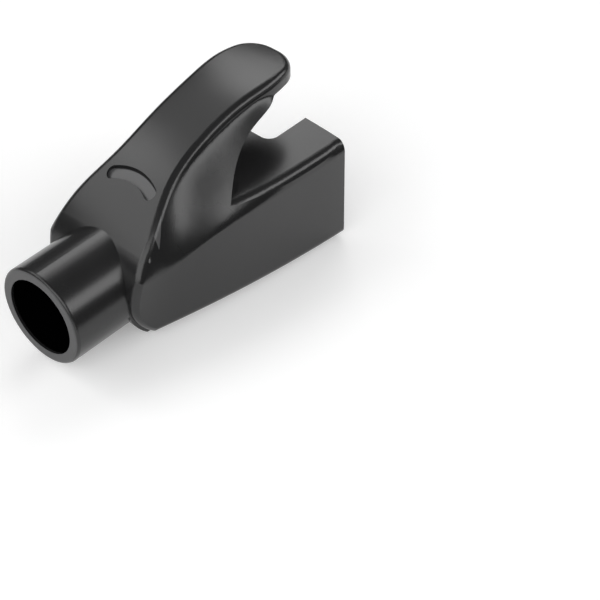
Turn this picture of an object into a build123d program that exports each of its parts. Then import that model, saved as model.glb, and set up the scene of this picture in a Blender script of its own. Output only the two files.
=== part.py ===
from build123d import *
import os
from math import asin, atan, cos, degrees, radians, sin, sqrt, tan

# Strain relief boot for an 8P8C plug: one moulding in soft PVC.
# X runs along the cable with the plug mouth at +X, Y is across, Z is up.
# The flat face lies on Z = 0 and the origin is below the middle of the length.

# Lengths, measured back from the mouth where they name a place
total_length = 27.58
web_foot = 12.05              # where the guard's web stands on the latch face
body_end = 22.25              # furthest point of the body, where the collar comes out

# Body
mouth_width = 15.0
mouth_height = 10.64
side_bow_radius = 118.0       # the sides close in towards the collar on this radius
flat_side_inset = 0.1         # the flat face is narrower than the widest line by this, each side
flat_side_inset_rate = 0.035  # and by this much more for each millimetre back
crown_rise = 0.35             # rise of the flat face to its long edges, at the mouth
crown_rise_rate = 0.052
rest_half_width = 1.4         # half of the level strip below the crown; the skim widens it by about 1
rest_narrowing = 0.05
crown_blend = 1.1
flat_corner_radius = 0.7
latch_corner_radius = 0.8

# Back of the guard and end of the body: one sweep of two arcs
back_radius = 25.25
back_top_setback = 3.0        # its highest line is this far back
cross_crown_radius = 60.0     # guard, latch face and body end are crowned across

# Latch guard
guard_tip_width = 6.4
guard_gap = 4.46              # between the latch face and the guard, at the tip
guard_thickness = 1.3         # at the highest line
guard_straight = 2.6          # length of the underside before it curves down into the web
guard_tip_flat = 0.2          # left between the two round corners of the tip
back_edge_radius = 0.65       # round the guard and down to the body's end
end_edge_radius = 0.75        # the upright edges of the body's end
end_edge_toe_in = 0.155       # run of the sides towards each other at the body's end, per millimetre back
end_edge_lean = 0.08          # and per millimetre down
end_edge_inset = 0.47         # the edge's plane, inside the widest line at the end's centre
end_edge_proud = 0.06         # the cutting ring is larger than the body's end by this
end_edge_top = 38.0           # degrees above and below the end's centre between which the edge is round
end_edge_bottom = -88.0

# Plug socket, latch notch and cable bore
socket_width = 12.0
socket_depth = 8.0
throat_end = 18.6             # here the throat has become the round cable bore
flat_wall = 1.29
latch_wall = 1.24
lip_bevel_height = 1.04       # lead-in along the flat wall
lip_bevel_depth = 0.4
throat_corner = 0.3
throat_flat = 0.05            # the throat is round but for this when it meets the bore
notch_width = 6.3
notch_depth = 4.41
notch_corner_radius = 1.0
collar_axis = 5.12
collar_radius = 4.33
bore_radius = 3.37
collar_edge_radius = 0.3

# Arc recesses: one at the guard's root, one on the flat face
guard_recess_depth = 0.35
flat_recess_depth = 0.5
recess_width = 1.0
recess_half_angle = 25.0
guard_recess_back = 16.5
guard_recess_bow = 5.0
flat_recess_back = 17.05
flat_recess_bow = 5.2

flat_skim = 0.02              # cut off the crowned underside to leave one true plane
rim_blend = 0.5               # run of the soft bend at the guard's rim
over = 1.0                    # how far a cutting shape runs past what it cuts
slack = 0.01                  # an edge this near to a plane lies in it

# Sides at stations along the body: share of the way to the body's end, height of the shoulder over
# the latch face, how far it is drawn in, run of its soft bend, how much of the way from its tip width
# out to the shoulder the guard has widened, and height of the guard's rim over the shoulder
side_stations = [
    (-0.027, 1.86, 0.0, 3.4, 0.0, 1.2),
    (0.135, 1.86, 0.0, 3.4, 0.0, 1.4),
    (0.292, 1.26, 0.0, 2.8, -0.01, 3.0),
    (0.404, 0.11, 0.0, 1.7, -0.04, 3.6),
    (0.517, -0.54, 0.03, 1.15, -0.04, 3.6),
    (0.652, -1.34, 0.2, 0.8, 0.0, 3.3),
    (0.787, -2.3, 0.45, 0.8, 0.25, 3.0),
    (0.899, -2.7, 0.4, 0.8, 0.55, 2.1),
    (1.056, -3.8, 0.2, 0.8, 0.7, 1.85),
]


def x_at(back):
    """X of a point this far back from the mouth."""
    return total_length / 2 - back


def side_half_width(back):
    return mouth_width / 2 - back * abs(back) / (2 * side_bow_radius)


def back_top():
    """Height of the guard's highest line."""
    return mouth_height + guard_gap + guard_thickness


def back_height(back):
    return back_top() - back_radius + sqrt(back_radius**2 - (back - back_top_setback) ** 2)


def body_end_radius():
    """Radius of the arc that leaves the flat face, touches the body's end and runs into the back."""
    reach = body_end - back_top_setback
    drop = back_radius - back_top()
    half_b = back_radius - reach + drop
    return sqrt(half_b**2 + back_radius**2 - reach**2 - drop**2) - half_b


def side_profile():
    """Closed side view: flat face, body end, back, guard, the gap under it and the latch face."""
    end_r = body_end_radius()
    back_centre = (x_at(back_top_setback), back_top() - back_radius)
    end_centre = (x_at(body_end) + end_r, end_r)
    lean = atan((back_centre[1] - end_centre[1]) / (back_centre[0] - end_centre[0]))
    meet = (end_centre[0] - end_r * cos(lean), end_centre[1] - end_r * sin(lean))
    foot = (x_at(web_foot), mouth_height)
    under = (x_at(guard_straight), mouth_height + guard_gap)
    tip_low = (x_at(0), mouth_height + guard_gap)
    tip_high = (x_at(0), back_height(0))
    with BuildSketch(Plane.XZ) as sketch:
        with BuildLine():
            l1 = Line((x_at(0), mouth_height), (x_at(0), -over))
            l2 = Line(l1 @ 1, (end_centre[0], -over))
            l3 = Line(l2 @ 1, (end_centre[0], -2 * flat_skim))
            l4 = TangentArc(l3 @ 1, meet, tangent=(-1, 0))
            l5 = RadiusArc(l4 @ 1, tip_high, back_radius)
            l6 = Line(l5 @ 1, tip_low)
            l7 = Line(l6 @ 1, under)
            l8 = TangentArc(l7 @ 1, foot, tangent=(-1, 0))
            Line(l8 @ 1, l1 @ 0)
        make_face()
    return sketch.sketch


def side_section(station):
    """Cross section of the sides: flat strip, crown, flank, shoulder, web slope and guard rim."""
    share, shoulder_rise, draw_in, shoulder_blend, widening, rim_rise = station
    back = share * body_end
    height = back_top() + over
    strip = rest_half_width - rest_narrowing * back
    flat_side = side_half_width(back) - flat_side_inset - flat_side_inset_rate * back
    shoulder_side = side_half_width(back) - draw_in
    shoulder = mouth_height + shoulder_rise
    guard_half = guard_tip_width / 2 + widening * (shoulder_side - guard_tip_width / 2)
    rim = shoulder + rim_rise
    rise = crown_rise + crown_rise_rate * back
    crown_foot = Vector(strip + crown_blend, -flat_skim)
    flat_corner = Vector(flat_side, rise)
    shoulder_corner = Vector(shoulder_side, shoulder)
    rim_corner = Vector(guard_half, rim)
    flank_end = shoulder_corner + (flat_corner - shoulder_corner).normalized() * shoulder_blend
    rim_end = rim_corner + Vector(0, rim_blend)
    crown_turn = atan((rise + flat_skim) / (flat_side - strip - crown_blend))
    radii = [crown_blend / tan(crown_turn / 2), flat_corner_radius]
    plane = Plane(origin=(x_at(back), 0, 0), x_dir=(0, 1, 0), z_dir=(1, 0, 0))
    with BuildSketch(plane) as sketch:
        with BuildLine():
            for side in (1, -1):
                low = [(side * p.X, p.Y) for p in (Vector(0, -flat_skim), crown_foot, flat_corner, flank_end)]
                FilletPolyline(*low, radius=radii)
                high = [(side * p.X, p.Y) for p in (flank_end, shoulder_corner, rim_corner, rim_end)]
                Bezier(*high)
                Line(high[-1], (side * guard_half, height))
            Line((guard_half, height), (-guard_half, height))
        make_face()
    return sketch.sketch


def crown_axis():
    """Turning the side view about this line gives every face of it the same crown across."""
    return Axis((0, 0, mouth_height - cross_crown_radius), (1, 0, 0))


def crowned(sketch):
    """Solid that a sketch of the side view sweeps, wide enough for the whole boot."""
    swing = degrees(asin((mouth_width / 2 + over) / (cross_crown_radius - mouth_height)))
    return revolve(sketch.rotate(crown_axis(), -swing), crown_axis(), revolution_arc=2 * swing)


def outer_form():
    sides = loft([side_section(station) for station in side_stations])
    form = (crowned(side_profile()) & sides).solids()[0]
    form = round_tip(form)
    form = round_back_edge(form)
    form = round_latch_corners(form)
    form = form - end_edge_cutter(1) - end_edge_cutter(-1)
    return split(form, Plane.XY, keep=Keep.TOP)


def round_tip(form):
    """The guard's tip is a full round, seen from above."""
    at_tip = form.edges().filter_by_position(Axis.X, x_at(0) - slack, x_at(0) + slack)
    underside = mouth_height + guard_gap
    uprights = at_tip.filter_by(lambda e: e.center().Z > underside and abs(e.center().Y) > 1)
    half_width = max(e.center().Y for e in uprights)
    return form.fillet(half_width - guard_tip_flat / 2, uprights)


def round_back_edge(form):
    """Soft edge between the swept back and the sides, all the way round the guard."""
    back = form.faces().sort_by(lambda f: f.bounding_box().max.Z)[-1]
    rim = back.edges().filter_by(lambda e: abs(e.center().Y) > 1 or e.center().X > 0)
    return form.fillet(back_edge_radius, rim)


def end_edge_cutter(side):
    """Part of a ring that rounds an upright edge of the body's end, below the guard's own soft edge."""
    end_r = body_end_radius()
    corner, round_r = end_r + end_edge_proud, end_edge_radius
    half_width = side_half_width(body_end - end_r) - end_edge_inset
    centre = Vector(x_at(body_end) + end_r, side * half_width, end_r)
    normal = Vector(-end_edge_toe_in, side, -end_edge_lean).normalized()
    first = end_edge_top if side < 0 else end_edge_bottom
    ahead = Vector(-cos(radians(first)), 0, sin(radians(first)))
    ahead = (ahead - normal * ahead.dot(normal)).normalized()
    plane = Plane(origin=centre, x_dir=ahead, z_dir=ahead.cross(normal))
    with BuildSketch(plane) as profile:
        with BuildLine():
            RadiusArc((corner - round_r, 0), (corner, -round_r), round_r)
            Polyline(
                (corner, -round_r), (corner + over, -round_r), (corner + over, over),
                (corner - round_r, over), (corner - round_r, 0),
            )
        make_face()
    return revolve(profile.sketch, Axis(centre, normal), revolution_arc=end_edge_top - end_edge_bottom)


def round_latch_corners(form):
    """Long corners between the latch face and the sides, from the mouth to the web."""
    near_corner = mouth_width / 2 - latch_corner_radius
    low = mouth_height - latch_corner_radius
    corners = form.edges().filter_by(
        lambda e: abs(e.center().Y) > near_corner - over
        and low < e.center().Z < mouth_height
        and e.bounding_box().min.X > x_at(web_foot) - slack
        and e.bounding_box().size.X > e.bounding_box().size.Z
    )
    return form.fillet(latch_corner_radius, corners)


def collar():
    """Round sleeve that grips the cable jacket, its end edge a soft quarter round."""
    end, root = x_at(total_length), x_at(body_end - body_end_radius())
    top = collar_axis + collar_radius
    edge, handle = collar_edge_radius, 0.5523 * collar_edge_radius  # the handle of a quarter circle
    with BuildSketch(Plane.XZ) as half:
        with BuildLine():
            Polyline((root, top), (root, collar_axis), (end, collar_axis), (end, top - edge))
            turn = [(end, top - edge), (end, top - edge + handle)]
            turn += [(end + edge - handle, top), (end + edge, top)]
            Bezier(*turn)
            Line((end + edge, top), (root, top))
        make_face()
    return revolve(half.sketch, Axis((0, 0, collar_axis), (1, 0, 0)))


def rectangle_at(back, width, low, high, corner):
    plane = Plane(origin=(x_at(back), 0, (low + high) / 2), x_dir=(0, 1, 0), z_dir=(1, 0, 0))
    return plane * RectangleRounded(width, high - low, corner)


def plug_socket():
    """Straight socket for the plug, a lead-in on the flat side and the throat down to the bore."""
    low = flat_wall + lip_bevel_height
    high = mouth_height - latch_wall
    straight = Box(socket_depth + over, socket_width, high - low, align=(Align.MIN, Align.CENTER, Align.MIN))
    straight = Pos(x_at(socket_depth), 0, low) * straight
    bevel = [(-over, flat_wall), (0, flat_wall), (lip_bevel_depth, low)]
    bevel += [(lip_bevel_depth, high), (-over, high)]
    with BuildSketch(Plane.XZ) as side:
        with BuildLine():
            Polyline(*[(x_at(back), z) for back, z in bevel], close=True)
        make_face()
    lead_in = extrude(side.sketch, socket_width / 2, both=True)
    bore_low, bore_high = collar_axis - bore_radius, collar_axis + bore_radius
    throat = loft([
        rectangle_at(socket_depth, socket_width, low, high, throat_corner),
        rectangle_at(throat_end, 2 * bore_radius, bore_low, bore_high, bore_radius - throat_flat),
    ])
    return straight + lead_in + throat


def cable_bore():
    length = total_length - throat_end + over
    bore = Cylinder(bore_radius, length, rotation=(0, 90, 0), align=(Align.CENTER, Align.CENTER, Align.MAX))
    return Pos(x_at(throat_end), 0, collar_axis) * bore


def latch_notch():
    """Open slot in the latch face where the plug's lever comes up."""
    depth = notch_depth + over
    height = latch_wall + 2 * over
    notch = Box(depth, notch_width, height, align=(Align.MIN, Align.CENTER, Align.MIN))
    notch = Pos(x_at(notch_depth), 0, mouth_height - latch_wall - over) * notch
    inner = notch.edges().filter_by(Axis.Z).sort_by(Axis.X)[:2]
    return notch.fillet(notch_corner_radius, inner)


def arc_slot(back, bow):
    """Shallow arc seen from above, its middle nearest the mouth."""
    centre = x_at(back + bow)
    slot = SlotArc(CenterArc((0, 0), bow, -recess_half_angle, 2 * recess_half_angle), recess_width)
    return Pos(centre, 0, 0) * slot


def guard_recess():
    """Arc recess at the guard's root, of even depth under the curved back."""
    centre = (x_at(back_top_setback), back_top() - back_radius)
    ring = Circle(back_radius + over) - Circle(back_radius - guard_recess_depth)
    skin = crowned(Plane.XZ * Pos(*centre) * (ring & back_quarter()))
    column = extrude(arc_slot(guard_recess_back, guard_recess_bow), back_top())
    return column & skin


def back_quarter():
    size = back_radius + over
    return Rectangle(size, size, align=(Align.MAX, Align.MIN))


def flat_recess():
    column = extrude(arc_slot(flat_recess_back, flat_recess_bow), flat_recess_depth + over)
    return Pos(0, 0, -over) * column


def boot():
    solid = outer_form() + collar()
    solid = solid - plug_socket() - cable_bore() - latch_notch()
    solid = solid - guard_recess() - flat_recess()
    return solid.solids()[0]


os.makedirs("parts", exist_ok=True)
part = boot()
part.label = "boot"
export_step(part, "parts/boot.step")
print("boot", part.is_valid, round(part.volume, 1), "mm3", part.bounding_box())
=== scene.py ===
import bpy
from math import cos, radians, sin, tan
from mathutils import Matrix, Vector

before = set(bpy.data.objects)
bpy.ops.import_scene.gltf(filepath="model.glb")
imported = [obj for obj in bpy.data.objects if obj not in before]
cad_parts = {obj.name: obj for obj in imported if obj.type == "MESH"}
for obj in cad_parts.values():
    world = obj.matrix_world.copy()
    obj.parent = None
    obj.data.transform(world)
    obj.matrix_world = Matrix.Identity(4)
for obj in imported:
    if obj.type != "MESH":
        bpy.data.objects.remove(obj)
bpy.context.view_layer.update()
print("stage: frame loaded")

mm = 0.001
white = (1, 1, 1, 1)


class Sock:
    # wraps a node socket, so that shader sums read as plain maths

    def __init__(self, paint, socket):
        self.paint = paint
        self.socket = socket

    def join(self, operation, first, second):
        return self.paint.node("ShaderNodeMath", {"operation": operation}, {0: first, 1: second})

    def __add__(self, other):
        return self.join("ADD", self, other)

    def __radd__(self, other):
        return self.join("ADD", other, self)

    def __sub__(self, other):
        return self.join("SUBTRACT", self, other)

    def __rsub__(self, other):
        return self.join("SUBTRACT", other, self)

    def __mul__(self, other):
        return self.join("MULTIPLY", self, other)

    def __rmul__(self, other):
        return self.join("MULTIPLY", other, self)

    def __pow__(self, other):
        return self.join("POWER", self, other)

    def __lt__(self, other):
        return self.join("LESS_THAN", self, other)

    def __gt__(self, other):
        return self.join("GREATER_THAN", self, other)


class Paint:
    # one node tree, of a material or of the world

    def __init__(self, owner):
        self.owner = owner
        owner.use_nodes = True
        self.tree = owner.node_tree
        self.tree.nodes.clear()

    def node(self, kind, settings=None, inputs=None, output=0):
        made = self.tree.nodes.new(kind)
        for key, value in (settings or {}).items():
            setattr(made, key, value)
        for key, value in (inputs or {}).items():
            socket = made.inputs[key]
            if isinstance(value, Sock):
                self.tree.links.new(value.socket, socket)
            else:
                socket.default_value = value
        return Sock(self, made.outputs[output]) if made.outputs else None

    def split(self, vector):
        made = self.tree.nodes.new("ShaderNodeSeparateXYZ")
        self.tree.links.new(vector.socket, made.inputs[0])
        return [Sock(self, axis) for axis in made.outputs]

    def blend(self, factor, below, above):
        mix = {"data_type": "RGBA"}
        return self.node("ShaderNodeMix", mix, {0: factor, 6: below, 7: above}, output=2)


def grey(level):
    return (level, level, level * 1.02, 1.0)


# black soft PVC: the satin skin of the mould, and matt faces painted paler as painted reflection
# and painted highlight, with painted shade in the bore and the socket
pvc = {
    "colour": 0.0115,
    "paler": 0.0165,            # in broad, faint patches
    "patchScale": 0.22,         # patches per millimetre
    "patchDetail": 3.0,
    "roughness": 0.24,
    "roughnessDrift": 0.06,
    "grainScale": 7.0,          # per millimetre
    "grainDetail": 2.0,
    "grainHeight": 0.0012,
    "specular": 0.5,
    "endFaceReflection": 0.055,           # cut ends of the collar and the mouth, painted paler: a painted reflection of the bright floor
    "endFaceRoughness": 0.42,
    # painted highlight: the recess floors are painted paler for the sheen they show
    "recessHighlight": 0.075,
    "recessRoughness": 0.3,
    "inside": 0.0008,           # painted shade: the unlit inside of the bore and the socket, painted near black
}

# where the part's own faces lie, in millimetres
endX = 13.79
places = {
    "collarEndSkin": 0.04,      # how deep the painted reflection on the end faces reaches
    "mouthEndSkin": 0.015,
    "boreHeight": 5.12,
    "boreRadius": 3.37,
    "boreSkin": 0.03,           # how far past the bore's wall its painted shade reaches
    "boreLip": 0.25,            # the collar's inner edge, which stays lit, outside the painted shade
    "socketBox": (0, 12.3, 6.02, 1.28, 9.41),   # back, front, half of the width, low, high
    "throatBox": (-4.85, 0, 4.65, 1.4, 9.0),
    "recessHalfWidth": 0.5,
    "recessSkin": 0.05,         # how far off its floor a recess is still painted paler, as a painted highlight
    "arcShare": 0.5,            # an arc recess lies beyond this share of its radius
    "guardArc": {"middle": endX - 16.5 - 5.0, "radius": 5.0},   # seen from above
    "flatArc": {"middle": endX - 17.05 - 5.2, "radius": 5.2},
    "guardBack": {"x": endX - 3.0, "z": 16.4 - 25.25, "radius": 25.25 - 0.35},
    "guardBase": 8.0,           # the guard's recess is above this
    "flatDepth": 0.5,
}


def reach(a, b):
    return (a * a + b * b) ** 0.5


def arcBand(x, y, arc):
    # 1 inside an arc recess, seen from above
    dx = x - arc["middle"] * mm
    away = reach(dx, y)
    half = places["recessHalfWidth"]
    outside = away > (arc["radius"] - half) * mm
    within = away < (arc["radius"] + half) * mm
    return outside * within * (dx > places["arcShare"] * arc["radius"] * mm)


# 1 on the recess floors, where a highlight is painted as a paler colour
def highlightedFloors(x, y, z):
    back, skin, depth = places["guardBack"], places["recessSkin"], places["flatDepth"]
    under = reach(x - back["x"] * mm, z - back["z"] * mm) < (back["radius"] + skin) * mm
    guard = arcBand(x, y, places["guardArc"]) * under * (z > places["guardBase"] * mm)
    level = (z > (depth - skin) * mm) * (z < (depth + skin) * mm)
    return guard + arcBand(x, y, places["flatArc"]) * level


# 1 on the cut ends, where the floor's bright reflection is painted as a paler colour
def reflectionEndFaces(x):
    collar = x < -(endX - places["collarEndSkin"]) * mm
    mouth = x > (endX - places["mouthEndSkin"]) * mm
    return collar + mouth


def insideBox(x, y, z, box):
    back, front, half, low, high = (length * mm for length in box)
    return (x > back) * (x < front) * (y < half) * (y > -half) * (z > low) * (z < high)


def insides(x, y, z):
    # 1 on the walls that no light reaches, where shade is painted
    radius = places["boreRadius"] + places["boreSkin"]
    bore = reach(y, z - places["boreHeight"] * mm) < radius * mm
    bore = bore * (x < 0) * (x > -(endX - places["boreLip"]) * mm)
    socket = insideBox(x, y, z, places["socketBox"])
    throat = insideBox(x, y, z, places["throatBox"])
    return bore + (1 - bore) * (socket + throat)


def noise(paint, place, scale, detail):
    inputs = {"Vector": place, "Scale": scale / mm, "Detail": detail}
    return paint.node("ShaderNodeTexNoise", {}, inputs)


def softPvc():
    paint = Paint(bpy.data.materials.new("softPvc"))
    place = paint.node("ShaderNodeTexCoord", output="Object")
    x, y, z = paint.split(place)
    drift = noise(paint, place, pvc["patchScale"], pvc["patchDetail"])
    grain = noise(paint, place, pvc["grainScale"], pvc["grainDetail"])
    floorHighlights, reflectionEnds, inside = highlightedFloors(x, y, z), reflectionEndFaces(x), insides(x, y, z)
    colour = paint.blend(drift, grey(pvc["colour"]), grey(pvc["paler"]))
    # painted reflection: the cut ends get a paler colour
    colour = paint.blend(reflectionEnds, colour, grey(pvc["endFaceReflection"]))
    # painted highlight: the recess floors get a paler colour
    colour = paint.blend(floorHighlights, colour, grey(pvc["recessHighlight"]))
    roughness = pvc["roughness"] + (drift - 0.5) * pvc["roughnessDrift"]
    roughness = roughness + reflectionEnds * (pvc["endFaceRoughness"] - pvc["roughness"])
    roughness = roughness + floorHighlights * (pvc["recessRoughness"] - pvc["roughness"])
    grainInputs = {"Strength": 1.0, "Distance": pvc["grainHeight"] * mm, "Height": grain}
    bump = paint.node("ShaderNodeBump", {}, grainInputs)
    skinInputs = {
        "Base Color": colour,
        "Roughness": roughness,
        "Normal": bump,
        "Specular IOR Level": pvc["specular"],
    }
    shader = paint.node("ShaderNodeBsdfPrincipled", {}, skinInputs)
    # painted shade: a near-black matt coat on the insides
    shadeFill = paint.node("ShaderNodeBsdfDiffuse", {}, {"Color": grey(pvc["inside"])})
    both = paint.node("ShaderNodeMixShader", {}, {0: inside, 1: shader, 2: shadeFill})
    paint.node("ShaderNodeOutputMaterial", {}, {"Surface": both})
    return paint.owner


def dressBoot():
    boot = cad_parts["boot"]
    look = softPvc()
    for slot in boot.material_slots:
        slot.material = look
    print("stage: boot dressed,", len(boot.data.polygons), "faces")


def flatSheet(name, corners):
    mesh = bpy.data.meshes.new(name)
    mesh.from_pydata([[length * mm for length in corner] for corner in corners], [], [(0, 1, 2, 3)])
    sheet = bpy.data.objects.new(name, mesh)
    bpy.context.scene.collection.objects.link(sheet)
    return sheet


paleFloor = {
    "size": 6000.0,             # millimetres
    "colour": (0.9, 0.9, 0.9, 1.0),
    "lift": 0.23,               # added where a camera or a mirror looks, to reach white
}


def layFloor():
    half = paleFloor["size"] / 2
    corners = [(-half, -half, 0), (half, -half, 0), (half, half, 0), (-half, half, 0)]
    floor = flatSheet("floor", corners)
    paint = Paint(bpy.data.materials.new("paleFloor"))
    ray = paint.tree.nodes.new("ShaderNodeLightPath").outputs
    looks = ("Is Camera Ray", "Is Glossy Ray", "Is Transmission Ray")
    camera, glossy, through = (Sock(paint, ray[name]) for name in looks)
    lift = (camera + glossy + through) * paleFloor["lift"]
    matt = paint.node("ShaderNodeBsdfDiffuse", {}, {"Color": paleFloor["colour"]})
    glow = paint.node("ShaderNodeEmission", {}, {"Color": white, "Strength": lift})
    both = paint.node("ShaderNodeAddShader", {}, {0: matt, 1: glow})
    paint.node("ShaderNodeOutputMaterial", {}, {"Surface": both})
    floor.data.materials.append(paint.owner)
    print("stage: floor laid")


# no camera sees it, and it darkens the near side's reflection; millimetres
blackCard = {
    "middle": (10.0, -24.0),
    "long": 60.0,
    "tall": 14.0,
    "colour": (0.005, 0.005, 0.005, 1.0),
}


def standCard():
    x, y = blackCard["middle"]
    left, right, top = x - blackCard["long"] / 2, x + blackCard["long"] / 2, blackCard["tall"]
    card = flatSheet("blackCard", [(left, y, 0), (right, y, 0), (right, y, top), (left, y, top)])
    paint = Paint(bpy.data.materials.new("blackCard"))
    matt = paint.node("ShaderNodeBsdfDiffuse", {}, {"Color": blackCard["colour"]})
    paint.node("ShaderNodeOutputMaterial", {}, {"Surface": matt})
    card.data.materials.append(paint.owner)
    card.visible_camera = card.visible_shadow = card.visible_diffuse = False
    print("stage: card stood")


# softboxes round the boot: degrees from +X towards +Y, degrees up, width and height in
# degrees, brightness
lamps = {
    "farRight": {"around": 32, "up": 42, "wide": 34, "tall": 22, "glow": 2.0},
    "farMiddle": {"around": 76, "up": 57, "wide": 50, "tall": 24, "glow": 0.8},
    "farLeft": {"around": 130, "up": 44, "wide": 48, "tall": 28, "glow": 1.55},
    "nearStrip": {"around": -54, "up": 27, "wide": 60, "tall": 20, "glow": 2.7},
    "nearFill": {"around": -155, "up": 35, "wide": 70, "tall": 40, "glow": 1.7},
}
studio = {
    "lampDistance": 900.0,      # millimetres
    "lampPower": 4,             # watts per square metre of a lamp, at a glow of 1
    "ambient": 0.1,
}


def lampSpan(degrees):
    # metres across, for a lamp that looks this wide from the boot
    return 2 * studio["lampDistance"] * tan(radians(degrees / 2)) * mm


def hangLamps():
    for name, spec in lamps.items():
        light = bpy.data.lights.new(name, "AREA")
        light.shape = "RECTANGLE"
        light.size, light.size_y = lampSpan(spec["wide"]), lampSpan(spec["tall"])
        light.energy = spec["glow"] * studio["lampPower"] * light.size * light.size_y
        lamp = bpy.data.objects.new(name, light)
        around, up = radians(spec["around"]), radians(spec["up"])
        towards = Vector((cos(up) * cos(around), cos(up) * sin(around), sin(up)))
        lamp.location = towards * studio["lampDistance"] * mm
        lamp.rotation_euler = towards.to_track_quat("Z", "Y").to_euler()
        bpy.context.scene.collection.objects.link(lamp)
    print("stage: lamps hung")


def paintWorld():
    paint = Paint(bpy.data.worlds.new("studio"))
    ray = paint.tree.nodes.new("ShaderNodeLightPath")
    camera = Sock(paint, ray.outputs["Is Camera Ray"])
    dim = paint.node("ShaderNodeBackground", {}, {"Color": white, "Strength": studio["ambient"]})
    bright = paint.node("ShaderNodeBackground", {}, {"Color": white, "Strength": 1.0})
    both = paint.node("ShaderNodeMixShader", {}, {0: camera, 1: dim, 2: bright})
    paint.node("ShaderNodeOutputWorld", {}, {"Surface": both})
    bpy.context.scene.world = paint.owner
    print("stage: world painted")


# place in millimetres, and the directions of the picture's right, down and depth
view = {
    "place": (-77.54, -86.55, 100.76),
    "right": (0.66901, -0.7431, -0.01477),
    "down": (-0.50276, -0.4378, -0.74536),
    "forward": (0.54741, 0.5061, -0.66650),
    "lens": 109.67,
    "sensor": 36.0,
    "nearest": 0.01,            # metres
    "furthest": 20.0,
}


def setCamera():
    lens = bpy.data.cameras.new("camera")
    lens.lens = view["lens"]
    lens.sensor_width = view["sensor"]
    lens.clip_start = view["nearest"]
    lens.clip_end = view["furthest"]
    camera = bpy.data.objects.new("camera", lens)
    right, down, ahead = Vector(view["right"]), Vector(view["down"]), Vector(view["forward"])
    turn = Matrix((right, -down, -ahead)).transposed()
    camera.matrix_world = Matrix.Translation(Vector(view["place"]) * mm) @ turn.to_4x4()
    bpy.context.scene.collection.objects.link(camera)
    bpy.context.scene.camera = camera
    print("stage: camera set")


bpy.context.scene.view_settings.view_transform = "Standard"
dressBoot()
layFloor()
standCard()
hangLamps()
paintWorld()
setCamera()
